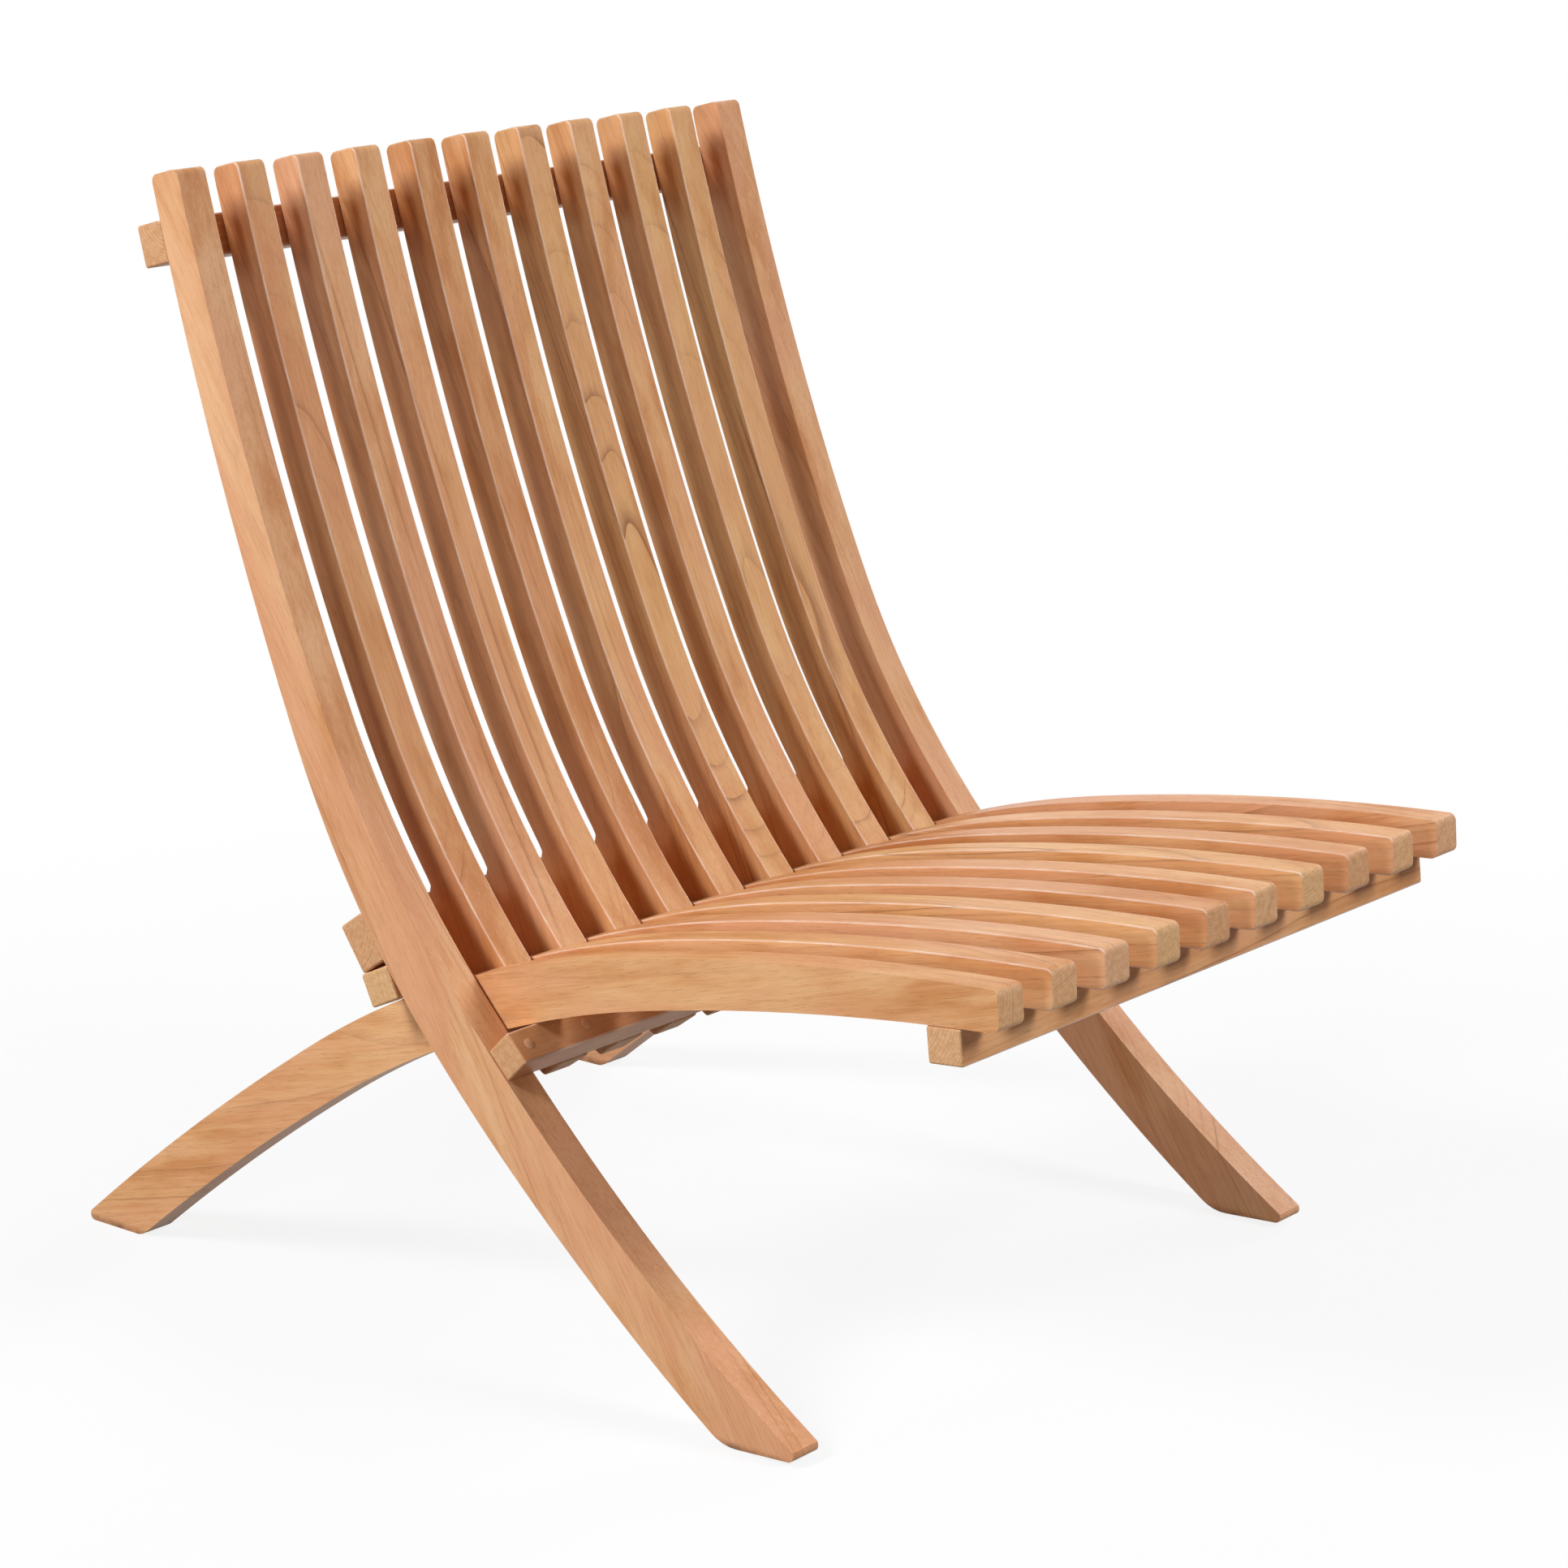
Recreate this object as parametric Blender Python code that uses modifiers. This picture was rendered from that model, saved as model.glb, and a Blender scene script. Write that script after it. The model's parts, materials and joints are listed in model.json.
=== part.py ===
# Folding lounge chair in solid teak: two frames of curved slats that cross like scissors.
#
# The back frame has eleven slats. Its two outer slats run down and forward as the front legs.
# The seat frame has ten slats in the gaps between them. Its two outer slats run down and back
# as the rear legs. One steel rod through every slat at the crossing is the pivot.
#
# Frame: metres, Z up, X across the chair, the sitter faces -Y. The origin lies on the floor,
# below the middle of the chair. Side outlines are drawn as (y, z) from the pivot's axis.

import math

import bmesh
import bpy

# Slats, across the chair
PITCH = 0.057  # from one back slat to the next
SLAT_WIDTH = 0.026
BACK_SLATS = 11
SEAT_SLATS = BACK_SLATS - 1
ARRIS = 0.003  # rounding of a slat's long edges

# The pivot
PIVOT_HEIGHT = 0.245
ROD_RADIUS = 0.005
ROD_END_COVER = 0.008  # wood left over the rod's end in the two outer slats
ROD_FIT_GAP = 0.0003  # back slats are a close fit on the rod
ROD_RUNNING_GAP = 0.0004  # seat slats turn on it

# Back slat, bottom to top: the heading of its centre line at the pivot, then three arcs
BACK_HEADING = math.radians(48)
FRONT_LEG_RADIUS = 1.440
BACK_BEND_RADIUS = 0.680
BACK_BEND_LENGTH = 0.224  # starts at the pivot
UPPER_BACK_RADIUS = 2.540
BACK_LENGTH = 0.617  # from the pivot to the top
BACK_LEG_DEPTH = 0.042
BACK_CROSSING_DEPTH = 0.044
BACK_MIDDLE_DEPTH = 0.0335
BACK_MIDDLE_AT = 0.265
BACK_TOP_DEPTH = 0.0265

# Seat slat, rear to front: the same kind of curve, laid over
SEAT_HEADING = math.radians(158)
REAR_LEG_RADIUS = 2.550
SEAT_BEND_RADIUS = 0.868
SEAT_BEND_BEHIND = 0.165  # length of the bend behind the pivot
SEAT_BEND_AHEAD = 0.153
SEAT_RADIUS = 2.090
SEAT_LENGTH = 0.463  # from the pivot to the front end
SEAT_LEG_DEPTH = 0.041
SEAT_CROSSING_DEPTH = 0.041
SEAT_MIDDLE_DEPTH = 0.036
SEAT_MIDDLE_AT = 0.150
SEAT_FRONT_DEPTH = 0.028

# Where a leg's section stops swelling towards the crossing, measured along the leg
LEG_SWELL_LENGTH = 0.240
LEG_REACH = 0.600  # longer than any leg, which the floor then cuts

# Ends of slats
END_RADIUS = 0.005
TOE_RADIUS = 0.0045
HEEL_RADIUS = 0.016

# An inner slat stops flush with its rail just past the crossing, thinned on its other side
INNER_END_DEPTH = 0.024
INNER_END_RISE = 0.004  # how far the end's cut slopes up towards the thinned side
INNER_END_RADIUS = 0.003
INNER_TAPER_FROM = 0.010  # place, past the pivot, at which the thinning starts
INNER_OVERHANG = 0.0005  # past the rail

# Rails: HEIGHT runs along the slats, DEPTH stands off them
TOP_RAIL_HEIGHT = 0.030
TOP_RAIL_DEPTH = 0.025
TOP_RAIL_DROP = 0.046  # from the top of the slats to the rail's middle
LOWER_RAIL_HEIGHT = 0.037
LOWER_RAIL_DEPTH = 0.0245
UNDER_RAIL_HEIGHT = 0.025
UNDER_RAIL_DEPTH = 0.024
REAR_RAIL_HEIGHT = 0.0275
REAR_RAIL_DEPTH = 0.0245
FRONT_RAIL_HEIGHT = 0.028
FRONT_RAIL_DEPTH = 0.025
FRONT_RAIL_SETBACK = 0.0445  # from the seat's front end to the rail's middle
RAIL_ARRIS = 0.003

# Gaps
CONTACT_GAP = 0.0003  # between pieces that touch
SWING_GAP = 0.0008  # between a rail and the slats of the frame that swings past it

# Fineness of the solids
CHORD = 0.048
CORNER_STEP = math.radians(25)
SLAT_ARRIS_STEPS = 2
RAIL_ARRIS_STEPS = 3
ROD_SIDES = 20
BEVEL_ANGLE = math.radians(35)
MERGE = 1e-5
HALVINGS = 50  # of a search between two values
SAMPLES = 120  # places at which a clearance is taken
EMPTY_SIZE = 0.05  # as drawn in the viewport

# Teak as photographed: a middle colour, and how far single boards stray from it
TEAK = (0.57, 0.30, 0.155)
TEAK_ROUGHNESS = 0.48
LIGHTNESS_SPREAD = 0.07
REDNESS_SPREAD = 0.05
STEEL = (0.56, 0.57, 0.58)
STEEL_ROUGHNESS = 0.35

HALF_WIDTH = PITCH * (BACK_SLATS - 1) / 2 + SLAT_WIDTH / 2


def along(direction, distance):
    """A step of that length in the (y, z) plane."""
    return (distance * math.cos(direction), distance * math.sin(direction))


def plus(a, b):
    return (a[0] + b[0], a[1] + b[1])


def minus(a, b):
    return (a[0] - b[0], a[1] - b[1])


def heading_of(vector):
    return math.atan2(vector[1], vector[0])


def bisect(too_small, low, high):
    """The value between low and high at which too_small stops being true."""
    for _ in range(HALVINGS):
        middle = (low + high) / 2
        if too_small(middle):
            low = middle
        else:
            high = middle
    return (low + high) / 2


class SlatCurve:
    """Side view of a slat: arcs that run out both ways from the pivot, and a depth across them.

    Places on it are lengths s along the centre line, 0 at the pivot. The curve always bends to
    its left, which is the concave side: the back's front face and the seat's underside.
    """

    def __init__(self, heading, ahead, behind, depths):
        self.heading = heading
        self.ahead = ahead
        self.behind = behind
        self.depths = depths

    def centre(self, s):
        """Point and heading of the centre line at s."""
        point, heading = (0.0, 0.0), self.heading
        arcs, sign = (self.ahead, 1) if s >= 0 else (self.behind, -1)
        left = abs(s)
        for number, (length, radius) in enumerate(arcs):
            last = number == len(arcs) - 1
            step = left if last else min(left, length)
            turn = sign * step / radius
            chord = 2 * radius * math.sin(step / (2 * radius))
            point = plus(point, along(heading + turn / 2, sign * chord))
            heading += turn
            left -= step
            if left <= 0:
                break
        return point, heading

    def depth(self, s):
        """Depth at s, on a smooth curve through the stations."""
        stations = self.depths
        if s <= stations[0][0]:
            return stations[0][1]
        if s >= stations[-1][0]:
            return stations[-1][1]
        slopes = []
        for number in range(len(stations)):
            low = stations[max(number - 1, 0)]
            high = stations[min(number + 1, len(stations) - 1)]
            slopes.append((high[1] - low[1]) / (high[0] - low[0]))
        slopes[0] = 0.0
        for number in range(len(stations) - 1):
            (s0, d0), (s1, d1) = stations[number], stations[number + 1]
            if s <= s1:
                break
        span = s1 - s0
        t = (s - s0) / span
        return (
            d0 * (1 + 2 * t) * (1 - t) ** 2
            + d1 * t * t * (3 - 2 * t)
            + slopes[number] * span * t * (1 - t) ** 2
            - slopes[number + 1] * span * t * t * (1 - t)
        )

    def edge(self, s, side):
        """Point on the surface at s: side is 1 on the left of the curve, -1 on its right."""
        point, heading = self.centre(s)
        return plus(point, along(heading + math.pi / 2, side * self.depth(s) / 2))

    def floor_cut(self, side):
        """Where that edge of the leg meets the floor."""

        def under_the_floor(s):
            return self.edge(s, side)[1] < -PIVOT_HEIGHT

        return bisect(under_the_floor, -LEG_REACH, 0.0)


def stations(start, end, keys):
    """Places from start to end, through the keys between them, no further apart than a chord."""
    room = 2 * END_RADIUS
    inner = sorted(key for key in keys if start + room < key < end - room)
    marks = [start, *inner, end]
    places = [start]
    for low, high in zip(marks, marks[1:]):
        count = max(1, math.ceil((high - low) / CHORD))
        places += [low + (high - low) * (n + 1) / count for n in range(count)]
    return places


def rounded(corners):
    """A closed outline from (point, radius) pairs: each corner with a radius becomes an arc."""
    outline = []
    for number, (corner, radius) in enumerate(corners):
        if radius == 0:
            outline.append(corner)
            continue
        before = heading_of(minus(corner, corners[number - 1][0]))
        after = heading_of(minus(corners[(number + 1) % len(corners)][0], corner))
        turn = (after - before + math.pi) % (2 * math.pi) - math.pi
        reach = radius * math.tan(abs(turn) / 2)
        centre = plus(
            plus(corner, along(before, -reach)),
            along(before + math.copysign(math.pi / 2, turn), radius),
        )
        steps = max(2, math.ceil(abs(turn) / CORNER_STEP))
        for step in range(steps + 1):
            direction = before - math.copysign(math.pi / 2, turn) + turn * step / steps
            outline.append(plus(centre, along(direction, radius)))
    return outline


def edge_points(curve, side, start, end, keys):
    return [curve.edge(s, side) for s in stations(start, end, keys)]


def slat_outline(one, other, one_radius, other_radius):
    """Side outline of a slat, from the points of its edges: up one, over the end, down the other."""
    one = [(point, 0.0) for point in one]
    other = [(point, 0.0) for point in other]
    one[0] = (one[0][0], one_radius)
    other[0] = (other[0][0], other_radius)
    one[-1] = (one[-1][0], END_RADIUS)
    other[-1] = (other[-1][0], END_RADIUS)
    return rounded(one + other[::-1])


BACK = SlatCurve(
    BACK_HEADING,
    [(BACK_BEND_LENGTH, BACK_BEND_RADIUS), (BACK_LENGTH, UPPER_BACK_RADIUS)],
    [(LEG_REACH, FRONT_LEG_RADIUS)],
    [
        (-LEG_SWELL_LENGTH, BACK_LEG_DEPTH),
        (0.0, BACK_CROSSING_DEPTH),
        (BACK_MIDDLE_AT, BACK_MIDDLE_DEPTH),
        (BACK_LENGTH, BACK_TOP_DEPTH),
    ],
)
SEAT = SlatCurve(
    SEAT_HEADING,
    [(SEAT_BEND_AHEAD, SEAT_BEND_RADIUS), (SEAT_LENGTH, SEAT_RADIUS)],
    [(SEAT_BEND_BEHIND, SEAT_BEND_RADIUS), (LEG_REACH, REAR_LEG_RADIUS)],
    [
        (-LEG_SWELL_LENGTH, SEAT_LEG_DEPTH),
        (0.0, SEAT_CROSSING_DEPTH),
        (SEAT_MIDDLE_AT, SEAT_MIDDLE_DEPTH),
        (SEAT_LENGTH, SEAT_FRONT_DEPTH),
    ],
)


class Rail:
    """A rail that lies flat on one side of the slats, centred at s."""

    def __init__(self, curve, s, side, height, depth):
        self.height, self.depth = height, depth
        self.low, self.high = s - height / 2, s + height / 2
        foot, head = curve.edge(self.low, side), curve.edge(self.high, side)
        self.heading = heading_of(minus(head, foot))
        self.out = self.heading + side * math.pi / 2
        middle = ((foot[0] + head[0]) / 2, (foot[1] + head[1]) / 2)
        self.centre = plus(middle, along(self.out, CONTACT_GAP + depth / 2))

    def corner(self, up, off):
        """Centre of a corner's rounding: up is 1 towards the slat's end, off 1 away from the slat."""
        point = plus(self.centre, along(self.heading, up * (self.height / 2 - RAIL_ARRIS)))
        return plus(point, along(self.out, off * (self.depth / 2 - RAIL_ARRIS)))


def clearance(curve, point, low, high):
    """Distance from a point to a slat, between two places on it: less than 0 inside the slat."""
    places = [low + (high - low) * n / SAMPLES for n in range(SAMPLES + 1)]
    return min(math.dist(point, curve.centre(s)[0]) - curve.depth(s) / 2 for s in places)


# The rear seat rail lies on the seat slats, as near behind the back slats as its corner clears
NEAR, FAR = 0.030, 0.140


def rear_rail_touches(back):
    rail = Rail(SEAT, -back, -1, REAR_RAIL_HEIGHT, REAR_RAIL_DEPTH)
    return clearance(BACK, rail.corner(1, 1), 0.0, FAR) < RAIL_ARRIS + SWING_GAP


REAR_RAIL = Rail(
    SEAT, -bisect(rear_rail_touches, NEAR, FAR), -1, REAR_RAIL_HEIGHT, REAR_RAIL_DEPTH
)


def lower_rail_touches(up):
    """The lower back rail bears on the rear seat rail: this is the stop that holds the chair open."""
    rail = Rail(BACK, up, -1, LOWER_RAIL_HEIGHT, LOWER_RAIL_DEPTH)
    across = minus(rail.corner(-1, 1), REAR_RAIL.centre)
    height = across[0] * math.cos(REAR_RAIL.out) + across[1] * math.sin(REAR_RAIL.out)
    return height < REAR_RAIL_DEPTH / 2 + RAIL_ARRIS + CONTACT_GAP


LOWER_RAIL = Rail(
    BACK, bisect(lower_rail_touches, NEAR, FAR), -1, LOWER_RAIL_HEIGHT, LOWER_RAIL_DEPTH
)


def under_rail_touches(down):
    """The under-seat rail is the second stop, close under the seat slats."""
    rail = Rail(BACK, -down, 1, UNDER_RAIL_HEIGHT, UNDER_RAIL_DEPTH)
    return clearance(SEAT, rail.corner(1, 1), 0.0, FAR) < RAIL_ARRIS + SWING_GAP


UNDER_RAIL = Rail(
    BACK, -bisect(under_rail_touches, NEAR, FAR), 1, UNDER_RAIL_HEIGHT, UNDER_RAIL_DEPTH
)
TOP_RAIL = Rail(BACK, BACK_LENGTH - TOP_RAIL_DROP, -1, TOP_RAIL_HEIGHT, TOP_RAIL_DEPTH)
FRONT_RAIL = Rail(
    SEAT, SEAT_LENGTH - FRONT_RAIL_SETBACK, 1, FRONT_RAIL_HEIGHT, FRONT_RAIL_DEPTH
)

BACK_KEYS = [
    UNDER_RAIL.low,
    UNDER_RAIL.high,
    0.0,
    LOWER_RAIL.low,
    LOWER_RAIL.high,
    BACK_BEND_LENGTH,
    TOP_RAIL.low,
    TOP_RAIL.high,
]
SEAT_KEYS = [
    -SEAT_BEND_BEHIND,
    REAR_RAIL.low,
    REAR_RAIL.high,
    0.0,
    SEAT_BEND_AHEAD,
    FRONT_RAIL.low,
    FRONT_RAIL.high,
]


def leg_slat(curve, length, keys, toe_side):
    """Outline of a long slat, cut flat to the floor. The toe is the sharp corner of its foot."""
    toe = edge_points(curve, toe_side, curve.floor_cut(toe_side), length, keys)
    heel = edge_points(curve, -toe_side, curve.floor_cut(-toe_side), length, keys)
    return slat_outline(toe, heel, TOE_RADIUS, HEEL_RADIUS)


def inner_slat(curve, rail, length, keys, rail_side):
    """Outline of a slat that stops at its rail, just past the crossing."""
    start = rail.low - INNER_OVERHANG
    heading = curve.centre(start)[1]
    held = edge_points(curve, rail_side, start, length, keys)
    end = plus(held[0], along(heading - rail_side * math.pi / 2, INNER_END_DEPTH))
    end = plus(end, along(heading, INNER_END_RISE))
    thinned = [end, *edge_points(curve, -rail_side, INNER_TAPER_FROM, length, keys)]
    return slat_outline(held, thinned, INNER_END_RADIUS, INNER_END_RADIUS)


FRONT_LEG_OUTLINE = leg_slat(BACK, BACK_LENGTH, BACK_KEYS, 1)
BACK_OUTLINE = inner_slat(BACK, UNDER_RAIL, BACK_LENGTH, BACK_KEYS, 1)
REAR_LEG_OUTLINE = leg_slat(SEAT, SEAT_LENGTH, SEAT_KEYS, -1)
SEAT_OUTLINE = inner_slat(SEAT, REAR_RAIL, SEAT_LENGTH, SEAT_KEYS, -1)

# The pivot stands where the chair's footprint is centred on the origin
REACH = [point[0] for point in REAR_LEG_OUTLINE]
PIVOT_Y = -(min(REACH) + max(REACH)) / 2


def clear_scene():
    for thing in list(bpy.data.objects):
        bpy.data.objects.remove(thing, do_unlink=True)


def collection(name):
    group = bpy.data.collections.new(name)
    bpy.context.scene.collection.children.link(group)
    return group


def material(name, colour, roughness, metallic=0.0):
    made = bpy.data.materials.new(name)
    made.use_nodes = True
    shader = made.node_tree.nodes["Principled BSDF"]
    shader.inputs["Base Color"].default_value = (*colour, 1.0)
    shader.inputs["Roughness"].default_value = roughness
    shader.inputs["Metallic"].default_value = metallic
    return made


def teak(name, number):
    """Teak of one board: boards differ a little in lightness and in how red they are."""
    light = 1 + LIGHTNESS_SPREAD * math.sin(2.4 * number)
    red = 1 + REDNESS_SPREAD * math.sin(4.1 * number + 1)
    colour = (TEAK[0] * light, TEAK[1] * light / red, TEAK[2] * light / red**2)
    return material(f"teak_{name}", colour, TEAK_ROUGHNESS)


def pivot_empty(name, group):
    """A frame's empty, on the pivot's axis."""
    empty = bpy.data.objects.new(name, None)
    empty.location = (0.0, PIVOT_Y, PIVOT_HEIGHT)
    empty.empty_display_size = EMPTY_SIZE
    group.objects.link(empty)
    return empty


def slat_mesh(name, outline):
    """A slat's board: its side outline as a filled flat curve, as thick as the slat is wide."""
    data = bpy.data.curves.new(name, "CURVE")
    data.dimensions = "2D"
    data.fill_mode = "BOTH"
    data.extrude = SLAT_WIDTH / 2
    spline = data.splines.new("POLY")
    spline.points.add(len(outline) - 1)
    for point, (y, z) in zip(spline.points, outline):
        point.co = (y, z, 0.0, 1.0)
    spline.use_cyclic_u = True
    drawing = bpy.data.objects.new(name, data)
    bpy.context.scene.collection.objects.link(drawing)
    evaluated = drawing.evaluated_get(bpy.context.evaluated_depsgraph_get())
    mesh = bpy.data.meshes.new_from_object(evaluated)
    bpy.data.objects.remove(drawing, do_unlink=True)
    bpy.data.curves.remove(data)
    board = bmesh.new()
    board.from_mesh(mesh)
    bmesh.ops.remove_doubles(board, verts=board.verts, dist=MERGE)
    bmesh.ops.recalc_face_normals(board, faces=board.faces)
    board.to_mesh(mesh)
    board.free()
    mesh.name = name
    return mesh


def round_edges(thing, width, steps):
    bevel = thing.modifiers.new("rounded_edges", "BEVEL")
    bevel.width = width
    bevel.segments = steps
    bevel.limit_method = "ANGLE"
    bevel.angle_limit = BEVEL_ANGLE


def bore(thing, cutter):
    hole = thing.modifiers.new("pivot_bore", "BOOLEAN")
    hole.operation = "DIFFERENCE"
    hole.solver = "EXACT"
    hole.object = cutter


def slat(name, number, outline_mesh, x, frame, cutter, group):
    """One slat in its place: the outline stands upright, front to back."""
    board = bpy.data.objects.new(name, outline_mesh.copy())
    board.parent = frame
    board.location = (x, 0.0, 0.0)
    board.rotation_euler = (math.pi / 2, 0.0, math.pi / 2)
    group.objects.link(board)
    board.data.materials.clear()
    board.data.materials.append(teak(name, number))
    round_edges(board, ARRIS, SLAT_ARRIS_STEPS)
    bore(board, cutter)
    return board


def rail(name, number, place, half_length, frame, group):
    """A straight rail across the slats, turned to lie flat on them."""
    mesh = bpy.data.meshes.new(name)
    bar = bmesh.new()
    bmesh.ops.create_cube(bar, size=1.0)
    bmesh.ops.scale(bar, vec=(2 * half_length, place.height, place.depth), verts=bar.verts)
    bar.to_mesh(mesh)
    bar.free()
    board = bpy.data.objects.new(name, mesh)
    board.parent = frame
    board.location = (0.0, *place.centre)
    board.rotation_euler = (place.heading, 0.0, 0.0)
    group.objects.link(board)
    mesh.materials.append(teak(name, number))
    round_edges(board, RAIL_ARRIS, RAIL_ARRIS_STEPS)
    return board


def rod(name, radius, half_length, group, parent=None):
    """A round bar on the pivot's axis, from side to side."""
    mesh = bpy.data.meshes.new(name)
    bar = bmesh.new()
    bmesh.ops.create_cone(
        bar,
        cap_ends=True,
        segments=ROD_SIDES,
        radius1=radius,
        radius2=radius,
        depth=2 * half_length,
    )
    bar.to_mesh(mesh)
    bar.free()
    mesh.shade_smooth()
    mesh.set_sharp_from_angle(angle=BEVEL_ANGLE)
    made = bpy.data.objects.new(name, mesh)
    made.rotation_euler = (0.0, math.pi / 2, 0.0)
    if parent:
        made.parent = parent
    else:
        made.location = (0.0, PIVOT_Y, PIVOT_HEIGHT)
    group.objects.link(made)
    return made


def cutter(name, radius, half_length, group):
    made = rod(name, radius, half_length, group)
    made.hide_render = True
    made.display_type = "WIRE"
    return made


def build():
    clear_scene()
    chair = collection("folding_lounge_chair")
    cutters = collection("cutters")
    back_frame = pivot_empty("back_frame", chair)
    seat_frame = pivot_empty("seat_frame", chair)

    rod_half = HALF_WIDTH - ROD_END_COVER
    back_bore = cutter("back_bore", ROD_RADIUS + ROD_FIT_GAP, rod_half + CONTACT_GAP, cutters)
    seat_bore = cutter("seat_bore", ROD_RADIUS + ROD_RUNNING_GAP, rod_half, cutters)

    front_leg = slat_mesh("front_leg_outline", FRONT_LEG_OUTLINE)
    back_inner = slat_mesh("back_slat_outline", BACK_OUTLINE)
    for number in range(1, BACK_SLATS + 1):
        outer = number in (1, BACK_SLATS)
        name = f"back_slat_{number:02d}" + ("_front_leg" if outer else "")
        x = PITCH * (number - (BACK_SLATS + 1) / 2)
        slat(name, number, front_leg if outer else back_inner, x, back_frame, back_bore, chair)

    rear_leg = slat_mesh("rear_leg_outline", REAR_LEG_OUTLINE)
    seat_inner = slat_mesh("seat_slat_outline", SEAT_OUTLINE)
    for number in range(1, SEAT_SLATS + 1):
        outer = number in (1, SEAT_SLATS)
        name = f"seat_slat_{number:02d}" + ("_rear_leg" if outer else "")
        x = PITCH * (number - (SEAT_SLATS + 1) / 2)
        slat(
            name,
            BACK_SLATS + number,
            rear_leg if outer else seat_inner,
            x,
            seat_frame,
            seat_bore,
            chair,
        )

    for mesh in (front_leg, back_inner, rear_leg, seat_inner):
        bpy.data.meshes.remove(mesh)

    seat_half = HALF_WIDTH - PITCH / 2
    first_rail = BACK_SLATS + SEAT_SLATS + 1
    rail("top_back_rail", first_rail, TOP_RAIL, HALF_WIDTH, back_frame, chair)
    rail("lower_back_rail", first_rail + 1, LOWER_RAIL, HALF_WIDTH, back_frame, chair)
    rail("under_seat_rail", first_rail + 2, UNDER_RAIL, HALF_WIDTH, back_frame, chair)
    rail("front_seat_rail", first_rail + 3, FRONT_RAIL, seat_half, seat_frame, chair)
    rail("rear_seat_rail", first_rail + 4, REAR_RAIL, HALF_WIDTH, seat_frame, chair)

    pivot_rod = rod("pivot_rod", ROD_RADIUS, rod_half, chair, back_frame)
    pivot_rod.data.materials.append(material("steel", STEEL, STEEL_ROUGHNESS, 1.0))


build()
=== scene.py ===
# A folding lounge chair of oiled teak slats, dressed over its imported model. Metres, Z up,
# and whoever sits in it faces -Y. The pivot runs across at the crossing of the two frames.

import json
import math
import random

import bpy
import numpy as np
from mathutils import Matrix, Vector


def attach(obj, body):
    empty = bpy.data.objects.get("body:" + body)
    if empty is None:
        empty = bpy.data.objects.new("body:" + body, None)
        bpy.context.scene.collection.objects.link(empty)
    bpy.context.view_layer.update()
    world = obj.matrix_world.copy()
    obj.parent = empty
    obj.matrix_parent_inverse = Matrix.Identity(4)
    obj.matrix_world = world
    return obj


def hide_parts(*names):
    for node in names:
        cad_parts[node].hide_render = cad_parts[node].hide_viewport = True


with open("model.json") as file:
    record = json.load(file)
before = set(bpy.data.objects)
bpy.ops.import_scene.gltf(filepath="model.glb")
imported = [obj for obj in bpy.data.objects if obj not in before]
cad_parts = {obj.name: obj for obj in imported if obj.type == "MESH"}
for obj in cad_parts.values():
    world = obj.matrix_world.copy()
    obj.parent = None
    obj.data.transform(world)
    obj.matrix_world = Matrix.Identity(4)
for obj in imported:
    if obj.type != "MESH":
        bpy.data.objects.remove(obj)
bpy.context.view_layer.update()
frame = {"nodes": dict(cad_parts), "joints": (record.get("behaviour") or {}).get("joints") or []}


# Outer back slats
# Two planks of teak, sawn to one long curve on a band saw. Each is a side of the back and, below
# the crossing, a front leg. The long edges are rounded over, and the foot is sawn flat.

SLAT_WIDTH = 0.026
PITCH = 0.057
ARRIS = 0.0014
ARRIS_STEPS = 4
SHARP = math.radians(35)
POINT_STEP = 0.012
CORNER_STEP = math.radians(12)
END_ROUND = 0.0055
TOE_ROUND = 0.0045
FRONT_HEEL_ROUND = 0.034
FRONT_TOE_LIFT = 0.0045
PAST_ANY_FOOT = -0.6
PIVOT = Vector(frame["joints"][0]["pos_m"])


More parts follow.
